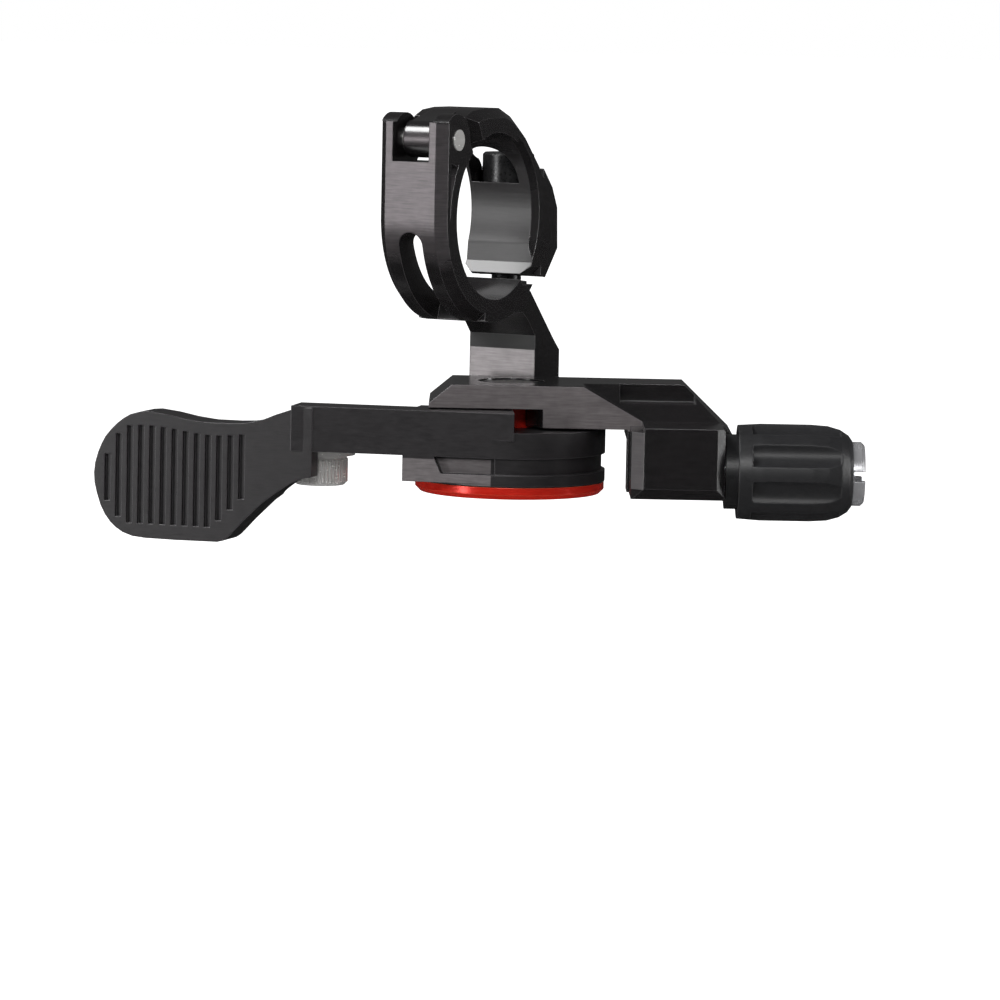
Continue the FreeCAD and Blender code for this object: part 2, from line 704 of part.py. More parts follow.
def make_balls(middle, pitch):
    """ring of balls and the crown cage that spaces them"""
    groups = {"ball": [], "room": []}
    for kind, radius in (("ball", "ball_radius"), ("room", "ball_radius + 0.08")):
        for index in range(int(value("ball_count"))):
            ball = doc.addObject("Part::Sphere", kind)
            ball.setExpression("Radius", sized(radius))
            angle = "360 / ball_count * %d" % index
            ball.setExpression("Placement.Base.x", sized("pivot_x + %s * cos(%s)" % (pitch, angle)))
            ball.setExpression("Placement.Base.y", sized("pivot_y + %s * sin(%s)" % (pitch, angle)))
            ball.setExpression("Placement.Base.z", sized(middle))
            groups[kind].append(ball)
    balls = doc.addObject("Part::MultiFuse", "balls")
    balls.Shapes = groups["ball"]
    balls.Label = "bearing_balls"
    crown = on_pivot("cage_blank")
    turned(crown, [
        (pitch + " - 0.6", middle),
        (pitch + " + 0.6", middle),
        (pitch + " + 0.6", "bearing_up + 0.7"),
        (pitch + " - 0.6", "bearing_up + 0.7")])
    rooms = doc.addObject("Part::MultiFuse", "rooms")
    rooms.Shapes = groups["room"]
    cage = doc.addObject("Part::Cut", "cage")
    cage.Base = crown
    cage.Tool = rooms
    cage.Label = "bearing_cage"
    doc.recompute()


def socket_screw(body, head_low, head_high, head_radius, shank_radius, tip):
    """cap screw about the body's Z axis with a hexagon socket in the head's outer face"""
    turned(body, [
        ("0", head_high),
        (head_radius + " - 0.3", head_high),
        (head_radius, head_high + (" - 0.3" if value(head_high) > value(head_low) else " + 0.3")),
        (head_radius, head_low),
        (shank_radius, head_low),
        (shank_radius, tip),
        ("0", tip)])
    socket = sketch_on(body, "XY_Plane", away=head_high)
    outline(socket, [
        ("pinch_head * 0.5 * cos(%d)" % (60 * corner), "pinch_head * 0.5 * sin(%d)" % (60 * corner))
        for corner in range(6)])
    pocket(body, socket, "pinch_head_high / 2", back=value(head_high) < value(head_low))


def make_fasteners():
    """clamp bolt, hinge pin, cable pinch bolt and its washer"""
    bolt = new_body("clamp_bolt", (
        "clamp_bolt_out * sin(clamp_turn) - clamp_bolt_aside * cos(clamp_turn)",
        "clamp_bolt_out * cos(clamp_turn) + clamp_bolt_aside * sin(clamp_turn)",
        "0"))
    socket_screw(bolt, "clamp_seat_up", "clamp_seat_up + pinch_head_high", "pinch_head",
                 "pinch_radius", "-ring_floor - 1.5")
    pin = new_body("hinge_pin", turn="-clamp_turn")
    section = circle(sketch_on(pin, "YZ_Plane"), ("-pin_back", "pin_up"), "pin_radius")
    pad(pin, section, "clamp_width + 0.3", both=True)
    across, along = pinch_place()
    place = ("pivot_x + " + across, "pivot_y + " + along, "hub_top - hub_upper")
    pinch = new_body("pinch_bolt", place)
    socket_screw(pinch, "-washer_thick", "-washer_thick - pinch_head_high", "pinch_head",
                 "pinch_radius", "3.8")
    washer = new_body("pinch_washer", place)
    turned(washer, [
        ("pinch_radius + 0.1", "0"),
        ("washer_radius", "0"),
        ("washer_radius", "-washer_thick"),
        ("pinch_radius + 0.1", "-washer_thick")])


def make_adjuster():
    """barrel, fluted cover, detent collar and detent spring on the cable's line"""
    line = ("pivot_x", "pivot_y + cable_y", "cable_z")
    start = "boss_right + collar_gap"
    cover_start = start + " + collar_width + 0.15"
    cover_end = cover_start + " + cover_length"
    barrel = new_body("adjuster_barrel", line)
    turned(barrel, [
        ("boss_left + 3", "cable_hole"),
        ("boss_left + 3", "thread_radius"),
        (cover_start + " + 4", "thread_radius"),
        (cover_start + " + 4", "thread_radius + 1"),
        (cover_end, "thread_radius + 1"),
        (cover_end, "barrel_radius - 0.4"),
        (cover_end, "barrel_radius"),
        (cover_end + " + barrel_end - 0.4", "barrel_radius"),
        (cover_end + " + barrel_end", "barrel_radius - 0.4"),
        (cover_end + " + barrel_end", "housing_radius"),
        (cover_end + " - 8", "housing_radius"),
        (cover_end + " - 8", "cable_hole")], axis="H_Axis")
    cut = outline(sketch_on(barrel, "XZ_Plane"), [
        (cover_end + " + 0.1", "-0.65"),
        (cover_end + " + barrel_end + 1", "-0.65"),
        (cover_end + " + barrel_end + 1", "0.65"),
        (cover_end + " + 0.1", "0.65")])
    pocket(barrel, cut, "barrel_radius * 4", both=True)
    cover = new_body("adjuster_cover", line)
    turned(cover, [
        (cover_start, "collar_radius + 0.2"),
        (cover_start, "cover_radius - 0.2"),
        (cover_start + " + 3", "cover_radius"),
        (cover_start + " + 9.5", "cover_radius"),
        (cover_start + " + 11.8", "cover_radius - 0.15"),
        (cover_start + " + 13.4", "cover_radius - 0.6"),
        (cover_start + " + 14.5", "cover_radius - 1.3"),
        (cover_end, "cover_radius - 2"),
        (cover_end, "thread_radius + 1"),
        (cover_start + " + 4", "thread_radius + 1"),
        (cover_start + " + 4", "collar_radius + 0.2")], axis="H_Axis")
    flute = circle(sketch_on(cover, "YZ_Plane", away=cover_start + " + 1.8"),
                   ("-cos(25.5) * (cover_radius + 1.35)", "sin(25.5) * (cover_radius + 1.35)"),
                   "2.2")
    first = pocket(cover, flute, "cover_length - 3.4", back=True)
    pattern = cover.newObject("PartDesign::PolarPattern", "flutes")
    pattern.Originals = [first]
    axis = [item for item in cover.Origin.OriginFeatures if item.Role == "X_Axis"][0]
    pattern.Axis = (axis, [""])
    pattern.Angle = 360
    pattern.Occurrences = int(value("flute_count"))
    cover.Tip = pattern
    doc.recompute()
    collar = new_body("detent_collar", line)
    turned(collar, [
        (start, "collar_radius - 1.1"),
        (start, "collar_radius"),
        (start + " + collar_length", "collar_radius"),
        (start + " + collar_length", "thread_radius + 0.15"),
        (start + " + collar_length - 0.7", "thread_radius + 0.15"),
        (start + " + collar_length - 0.7", "collar_radius - 1.1")], axis="H_Axis")
    key = circle(sketch_on(collar, "YZ_Plane", away=start + " - 6.2"), ("0", "4.45"), "0.5")
    pad(collar, key, "6.4")
    wire = value("spring_wire")
    coil = value("thread_radius") + 0.55
    low = value("boss_right") + wire / 2 + 0.02
    high = value(start + " + collar_length - 0.7") - wire / 2 - 0.02
    turns = 4
    helix = Part.makeHelix((high - low) / turns, high - low, coil)
    corners = [FreeCAD.Vector(coil + wire * across, 0, wire * along)
               for across, along in ((0, -0.5), (1, -0.5), (1, 0.5), (0, 0.5), (0, -0.5))]
    spring = doc.addObject("Part::Feature", "spring")
    spring.Shape = Part.Wire(helix.Edges).makePipeShell([Part.makePolygon(corners)], True, True)
    spring.Placement = FreeCAD.Placement(
        FreeCAD.Vector(value(line[0]) + low, value(line[1]), value(line[2])),
        FreeCAD.Rotation(FreeCAD.Vector(0, 1, 0), 90))
    spring.Label = "detent_spring"


make_bracket()
make_clamp_cap()
make_lever()
make_pivot_stack()
make_fasteners()
make_adjuster()
doc.recompute()

names = [
    "bracket", "clamp_cap", "hinge_pin", "clamp_bolt",
    "lever", "pinch_bolt", "pinch_washer",
    "pivot_axle", "pivot_sleeve", "bearing_inner_ring", "bearing_outer_ring",
    "bearing_shield_top", "bearing_shield_bottom", "bearing_balls", "bearing_cage",
    "retaining_ring", "thrust_washer", "pivot_cap", "pivot_screw", "cap_seal",
    "adjuster_barrel", "adjuster_cover", "detent_collar", "detent_spring",
]
for item in doc.Objects:
    if "Invalid" in item.State or "Error" in item.State:
        raise ValueError("%s failed: %s" % (item.Label, item.State))
os.makedirs("parts", exist_ok=True)
for name in names:
    piece = doc.getObjectsByLabel(name)[0]
    if piece.Shape.isNull() or not piece.Shape.isValid():
        raise ValueError(name + " is not a valid shape")
    piece.Shape.exportStep("parts/" + name + ".step")
    print(name, len(piece.Shape.Solids), round(piece.Shape.Volume, 1))
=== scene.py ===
import bmesh
import bpy
import math
from mathutils import Matrix, Vector


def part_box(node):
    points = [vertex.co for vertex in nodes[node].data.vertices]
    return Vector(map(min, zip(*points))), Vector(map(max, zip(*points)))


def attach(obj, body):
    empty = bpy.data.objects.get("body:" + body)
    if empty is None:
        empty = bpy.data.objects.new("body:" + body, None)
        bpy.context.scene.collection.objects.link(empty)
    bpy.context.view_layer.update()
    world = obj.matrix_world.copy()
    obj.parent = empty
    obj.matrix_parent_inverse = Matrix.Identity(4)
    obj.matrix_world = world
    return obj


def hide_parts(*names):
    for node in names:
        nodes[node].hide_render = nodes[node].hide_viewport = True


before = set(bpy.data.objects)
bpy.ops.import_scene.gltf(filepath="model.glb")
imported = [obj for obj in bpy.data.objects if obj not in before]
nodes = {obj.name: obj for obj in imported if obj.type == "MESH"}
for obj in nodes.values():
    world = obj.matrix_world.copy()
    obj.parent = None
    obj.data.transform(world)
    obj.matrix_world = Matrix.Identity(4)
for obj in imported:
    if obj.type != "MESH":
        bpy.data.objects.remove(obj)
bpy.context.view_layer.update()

scene = bpy.context.scene
scene.view_settings.view_transform = "Standard"
bar = math.radians(28.5)                      # how far the handlebar turns from the cable's line
pivot = Vector((0.0067, -0.0006, 0.0))


studio = {
    "focus": (0.0025, -0.0087, -0.0138),      # point of the lever on the lens axis
    "distance": 0.658,
    "lens": 180.0,
    "lookDown": 4.0,
    "roll": 1.1,
    "shiftX": 0.019,
    "shiftY": -0.177,
    "floorLevel": -0.118,
    "lamps": {
        "topBox": {"place": (-0.40, -0.10, 0.50), "size": (0.40, 0.24), "power": 4.0},
        "leftBox": {"place": (-0.62, -0.40, -0.04), "size": (0.14, 0.30), "power": 1.7},
        "rightBox": {"place": (0.66, -0.10, 0.06), "size": (0.12, 0.46), "power": 2.0},
        "frontBox": {"place": (-0.10, -0.90, 0.42), "size": (0.30, 0.16), "power": 3.2},
    },
    "aim": (0.0, 0.0, -0.02),
    "floorHalf": 3.0,
    "ambient": 0.30,
    "behindGlow": 0.07,
    "cameraSideGlow": 0.02,
    "floorGlow": 0.025,
}


def makeCamera():
    down = math.radians(studio["lookDown"])
    roll = math.radians(studio["roll"])
    ahead = Vector((0.0, math.cos(down), -math.sin(down)))
    across = Vector((1.0, 0.0, 0.0))
    up = Vector((0.0, math.sin(down), math.cos(down)))
    right = across * math.cos(roll) + up * math.sin(roll)
    top = up * math.cos(roll) - across * math.sin(roll)
    data = bpy.data.cameras.new("studioCamera")
    data.lens = studio["lens"]
    data.sensor_width = 36.0
    data.shift_x = studio["shiftX"]
    data.shift_y = studio["shiftY"]
    data.clip_start = 0.01
    camera = bpy.data.objects.new("studioCamera", data)
    turn = Matrix((right, top, -ahead)).transposed().to_4x4()
    camera.matrix_world = Matrix.Translation(Vector(studio["focus"]) - ahead * studio["distance"]) @ turn
    scene.collection.objects.link(camera)
    scene.camera = camera


def makeLamps():
    for name, lamp in studio["lamps"].items():
        data = bpy.data.lights.new(name, "AREA")
        data.shape = "RECTANGLE"
        data.size, data.size_y = lamp["size"]
        data.energy = lamp["power"]
        thing = bpy.data.objects.new(name, data)
        place = Vector(lamp["place"])
        thing.rotation_euler = (Vector(studio["aim"]) - place).to_track_quat("-Z", "Y").to_euler()
        thing.location = place
        scene.collection.objects.link(thing)


def makeWorld():
    world = bpy.data.worlds.new("studioWorld")
    scene.world = world
    world.use_nodes = True
    tree = world.node_tree
    tree.nodes.clear()
    out = tree.nodes.new("ShaderNodeOutputWorld")
    back = tree.nodes.new("ShaderNodeBackground")
    back.inputs["Color"].default_value = (1, 1, 1, 1)
    path = tree.nodes.new("ShaderNodeLightPath")
    seen = tree.nodes.new("ShaderNodeMath")
    seen.operation = "MAXIMUM"
    tree.links.new(path.outputs["Is Camera Ray"], seen.inputs[0])
    tree.links.new(path.outputs["Is Transmission Ray"], seen.inputs[1])
    coord = tree.nodes.new("ShaderNodeTexCoord")
    split = tree.nodes.new("ShaderNodeSeparateXYZ")
    tree.links.new(coord.outputs["Generated"], split.inputs[0])
    glow = tree.nodes.new("ShaderNodeMapRange")
    glow.interpolation_type = "SMOOTHSTEP"
    glow.inputs["From Min"].default_value = -0.35
    glow.inputs["From Max"].default_value = 0.35
    glow.inputs["To Min"].default_value = studio["cameraSideGlow"]
    glow.inputs["To Max"].default_value = studio["behindGlow"]
    tree.links.new(split.outputs["Y"], glow.inputs["Value"])
    glossy = tree.nodes.new("ShaderNodeMix")
    glossy.data_type = "FLOAT"
    glossy.inputs[2].default_value = studio["ambient"]
    tree.links.new(path.outputs["Is Glossy Ray"], glossy.inputs[0])
    tree.links.new(glow.outputs[0], glossy.inputs[3])
    whole = tree.nodes.new("ShaderNodeMix")
    whole.data_type = "FLOAT"
    tree.links.new(seen.outputs[0], whole.inputs[0])
    tree.links.new(glossy.outputs[0], whole.inputs[2])
    whole.inputs[3].default_value = 1.0
    tree.links.new(whole.outputs[0], back.inputs["Strength"])
    tree.links.new(back.outputs[0], out.inputs["Surface"])


def makeFloor():
    half = studio["floorHalf"]
    level = studio["floorLevel"]
    mesh = bpy.data.meshes.new("floor")
    corners = [(-half, -half, level), (half, -half, level), (half, half * 3, level), (-half, half * 3, level)]
    mesh.from_pydata(corners, [], [(0, 1, 2, 3)])
    floor = bpy.data.objects.new("floor", mesh)
    scene.collection.objects.link(floor)
    paint = bpy.data.materials.new("paleFloor")
    paint.use_nodes = True
    tree = paint.node_tree
    tree.nodes.clear()
    out = tree.nodes.new("ShaderNodeOutputMaterial")
    plain = tree.nodes.new("ShaderNodeBsdfDiffuse")
    plain.inputs["Color"].default_value = (0.8, 0.8, 0.8, 1)
    white = tree.nodes.new("ShaderNodeEmission")
    path = tree.nodes.new("ShaderNodeLightPath")
    tree.links.new(path.outputs["Is Camera Ray"], white.inputs["Strength"])
    add = tree.nodes.new("ShaderNodeAddShader")
    tree.links.new(plain.outputs[0], add.inputs[0])
    tree.links.new(white.outputs[0], add.inputs[1])
    faint = tree.nodes.new("ShaderNodeEmission")
    faint.inputs["Strength"].default_value = studio["floorGlow"]
    pick = tree.nodes.new("ShaderNodeMixShader")
    tree.links.new(path.outputs["Is Glossy Ray"], pick.inputs[0])
    tree.links.new(add.outputs[0], pick.inputs[1])
    tree.links.new(faint.outputs[0], pick.inputs[2])
    tree.links.new(pick.outputs[0], out.inputs["Surface"])
    mesh.materials.append(paint)


makeCamera()
makeLamps()
makeWorld()
makeFloor()
print("studio ready")


def newGroup(name, numbers, outputs):
    group = bpy.data.node_groups.new(name, "ShaderNodeTree")
    for label, start in numbers:
        kind = "NodeSocketVector" if isinstance(start, tuple) else "NodeSocketFloat"
        socket = group.interface.new_socket(label, in_out="INPUT", socket_type=kind)
        socket.default_value = start
    for label, kind in outputs:
        group.interface.new_socket(label, in_out="OUTPUT", socket_type=kind)
    return group, group.nodes.new("NodeGroupInput"), group.nodes.new("NodeGroupOutput")


def brokenEdge():
    # rounded edge from the neighbouring faces, and a mask of where it turns
    group, start, end = newGroup("brokenEdge", [("Radius", 0.0002), ("Strength", 1.0)],
                                 [("Normal", "NodeSocketVector"), ("Edge", "NodeSocketFloat")])
    add = group.nodes.new
    join = group.links.new
    bevel = add("ShaderNodeBevel")
    bevel.samples = 6
    join(start.outputs["Radius"], bevel.inputs["Radius"])
    shape = add("ShaderNodeNewGeometry")
    dot = add("ShaderNodeVectorMath")
    dot.operation = "DOT_PRODUCT"
    join(bevel.outputs[0], dot.inputs[0])
    join(shape.outputs["Normal"], dot.inputs[1])
    turn = add("ShaderNodeMapRange")
    turn.inputs["From Min"].default_value = 0.995
    turn.inputs["From Max"].default_value = 0.80
    join(dot.outputs["Value"], turn.inputs["Value"])
    scale = add("ShaderNodeMath")
    scale.operation = "MULTIPLY"
    join(turn.outputs[0], scale.inputs[0])
    join(start.outputs["Strength"], scale.inputs[1])
    join(bevel.outputs[0], end.inputs["Normal"])
    join(scale.outputs[0], end.inputs["Edge"])
    return group


def toolMarks():
    # fine streaks of a cutter or belt: long along X, Y or Z of the piece by the three stretches
    group, start, end = newGroup(
        "toolMarks", [("Along X", 30.0), ("Along Y", 30.0), ("Along Z", 30.0), ("Detail", 5.0)],
        [("Height", "NodeSocketFloat"), ("Tone", "NodeSocketFloat")])
    add = group.nodes.new
    join = group.links.new
    coord = add("ShaderNodeTexCoord")
    stretch = add("ShaderNodeCombineXYZ")
    for axis in "XYZ":
        join(start.outputs["Along " + axis], stretch.inputs[axis])
    times = add("ShaderNodeVectorMath")
    times.operation = "MULTIPLY"
    join(coord.outputs["Object"], times.inputs[0])
    join(stretch.outputs[0], times.inputs[1])
    streak = add("ShaderNodeTexNoise")
    streak.inputs["Scale"].default_value = 1.0
    join(times.outputs[0], streak.inputs["Vector"])
    join(start.outputs["Detail"], streak.inputs["Detail"])
    cloud = add("ShaderNodeTexNoise")
    cloud.inputs["Scale"].default_value = 900.0
    cloud.inputs["Detail"].default_value = 2.0
    join(coord.outputs["Object"], cloud.inputs["Vector"])
    mix = add("ShaderNodeMix")
    mix.data_type = "FLOAT"
    mix.inputs[0].default_value = 0.25
    join(streak.outputs["Fac"], mix.inputs[2])
    join(cloud.outputs["Fac"], mix.inputs[3])
    join(streak.outputs["Fac"], end.inputs["Height"])
    join(mix.outputs[0], end.inputs["Tone"])
    return group


def facePatch():
    # mask of the faces inside a box of the piece that look one way
    group, start, end = newGroup(
        "facePatch", [("Low", (0.0, 0.0, 0.0)), ("High", (0.0, 0.0, 0.0)), ("Facing", (0.0, -1.0, 0.0)),
                      ("From", 0.93), ("To", 0.985)],
        [("Mask", "NodeSocketFloat")])
    add = group.nodes.new
    join = group.links.new
    coord = add("ShaderNodeTexCoord")
    above = add("ShaderNodeVectorMath")
    above.operation = "SUBTRACT"
    join(coord.outputs["Object"], above.inputs[0])
    join(start.outputs["Low"], above.inputs[1])
    below = add("ShaderNodeVectorMath")
    below.operation = "SUBTRACT"
    join(start.outputs["High"], below.inputs[0])
    join(coord.outputs["Object"], below.inputs[1])
    least = add("ShaderNodeVectorMath")
    least.operation = "MINIMUM"
    join(above.outputs[0], least.inputs[0])
    join(below.outputs[0], least.inputs[1])
    split = add("ShaderNodeSeparateXYZ")
    join(least.outputs[0], split.inputs[0])
    lesser = add("ShaderNodeMath")
    lesser.operation = "MINIMUM"
    join(split.outputs["X"], lesser.inputs[0])
    join(split.outputs["Y"], lesser.inputs[1])
    least3 = add("ShaderNodeMath")
    least3.operation = "MINIMUM"
    join(lesser.outputs[0], least3.inputs[0])
    join(split.outputs["Z"], least3.inputs[1])
    inside = add("ShaderNodeMapRange")
    inside.inputs["From Max"].default_value = 0.0001
    join(least3.outputs[0], inside.inputs["Value"])
    shape = add("ShaderNodeNewGeometry")
    dot = add("ShaderNodeVectorMath")
    dot.operation = "DOT_PRODUCT"
    join(shape.outputs["Normal"], dot.inputs[0])
    join(start.outputs["Facing"], dot.inputs[1])
    looks = add("ShaderNodeMapRange")
    join(start.outputs["From"], looks.inputs["From Min"])
    join(start.outputs["To"], looks.inputs["From Max"])
    join(dot.outputs["Value"], looks.inputs["Value"])
    both = add("ShaderNodeMath")
    both.operation = "MULTIPLY"
    join(inside.outputs[0], both.inputs[0])
    join(looks.outputs[0], both.inputs[1])
    join(both.outputs[0], end.inputs["Mask"])
    return group


edgeGroup = brokenEdge()
patchGroup = facePatch()
marksGroup = toolMarks()


class Paint:
    def __init__(self, name, metallic, roughness):
        self.material = bpy.data.materials.new(name)
        self.material.use_nodes = True
        self.tree = self.material.node_tree
        self.tree.nodes.clear()
        self.out = self.add("OutputMaterial")
        self.body = self.add("BsdfPrincipled")
        self.join(self.body.outputs[0], self.out.inputs["Surface"])
        self.body.inputs["Metallic"].default_value = metallic
        self.body.inputs["Roughness"].default_value = roughness

    def add(self, kind, **settings):
        node = self.tree.nodes.new("ShaderNode" + kind)
        for label, setting in settings.items():
            setattr(node, label, setting)
        return node

    def join(self, a, b):
        self.tree.links.new(a, b)

    def group(self, group, values):
        node = self.add("Group", node_tree=group)
        for label, number in values.items():
            node.inputs[label].default_value = number
        return node

    def colours(self, factor, low, high, lowAt=0.0, highAt=1.0):
        ramp = self.add("ValToRGB")
        ramp.color_ramp.elements[0].position = lowAt
        ramp.color_ramp.elements[0].color = (*low, 1)
        ramp.color_ramp.elements[1].position = highAt
        ramp.color_ramp.elements[1].color = (*high, 1)
        self.join(factor, ramp.inputs[0])
        return ramp.outputs["Color"]

    def ranged(self, factor, low, high, fromLow=0.0, fromHigh=1.0):
        node = self.add("MapRange")
        node.inputs["From Min"].default_value = fromLow
        node.inputs["From Max"].default_value = fromHigh
        node.inputs["To Min"].default_value = low
        node.inputs["To Max"].default_value = high
        self.join(factor, node.inputs["Value"])
        return node.outputs[0]

    def blend(self, factor, a, b):
        node = self.add("Mix", data_type="RGBA")
        self.join(factor, node.inputs[0])
        self.join(a, node.inputs[6])
        self.join(b, node.inputs[7])
        return node.outputs[2]


def finishedMetal(name, dark, light, roughness, marks, metallic=1.0, edge=0.00018, bump=0.04, edgeHighlight=None,
                  spread=0.06, reach=0.00005, ior=1.5, paintedLightFaces=()):
    # machined and finished metal: streaks move the tone, roughness and height; a painted highlight lightens
    # the colour along the edges, and patches paint chosen faces paler, as painted reflections of the lamps
    # and a painted sheen, or give them a rougher surface of their own
    paint = Paint(name, metallic, roughness)
    paint.body.inputs["IOR"].default_value = ior
    streaks = paint.group(marksGroup, marks)
    rim = paint.group(edgeGroup, {"Radius": edge})
    tone = paint.colours(streaks.outputs["Tone"], dark, light, 0.3, 0.7)
    rough = paint.ranged(streaks.outputs["Tone"], roughness - spread, roughness + spread, 0.3, 0.7)
    shine = None
    # painted reflections: each patch mostly gives the faces inside its box that look one way a paler colour
    # standing for the lamp light they reflect, with its own roughness and metallic
    for paintedFace in paintedLightFaces:
        spot = paint.group(patchGroup, {key.capitalize(): paintedFace[key]
                                        for key in ("low", "high", "facing", "from", "to") if key in paintedFace})
        paintedFaceTone = paint.colours(streaks.outputs["Tone"], paintedFace["dark"], paintedFace["light"], 0.3, 0.7)
        tone = paint.blend(spot.outputs["Mask"], tone, paintedFaceTone)
        rougher = paint.add("Mix", data_type="FLOAT")
        rougher.inputs[3].default_value = paintedFace["roughness"]
        paint.join(spot.outputs["Mask"], rougher.inputs[0])
        paint.join(rough, rougher.inputs[2])
        rough = rougher.outputs[0]
        metal = paint.add("Mix", data_type="FLOAT")
        metal.inputs[2].default_value = metallic
        metal.inputs[3].default_value = paintedFace["metallic"]
        paint.join(spot.outputs["Mask"], metal.inputs[0])
        if shine:
            paint.join(shine, metal.inputs[2])
        shine = metal.outputs[0]
    if shine:
        paint.join(shine, paint.body.inputs["Metallic"])
    # painted highlight: the colour along the edges is lightened towards the edge colour
    if edgeHighlight:
        paintedEdgeHighlight = paint.add("Mix", data_type="RGBA")
        paintedEdgeHighlight.inputs[7].default_value = (*edgeHighlight, 1)
        paint.join(rim.outputs["Edge"], paintedEdgeHighlight.inputs[0])
        paint.join(tone, paintedEdgeHighlight.inputs[6])
        tone = paintedEdgeHighlight.outputs[2]
    paint.join(tone, paint.body.inputs["Base Color"])
    paint.join(rough, paint.body.inputs["Roughness"])
    relief = paint.add("Bump")
    relief.inputs["Strength"].default_value = bump
    relief.inputs["Distance"].default_value = reach
    paint.join(streaks.outputs["Height"], relief.inputs["Height"])
    paint.join(rim.outputs["Normal"], relief.inputs["Normal"])
    paint.join(relief.outputs[0], paint.body.inputs["Normal"])
    return paint.material


outward = (-math.sin(bar), -math.cos(bar), 0.0)          # way that the strap's outer face looks
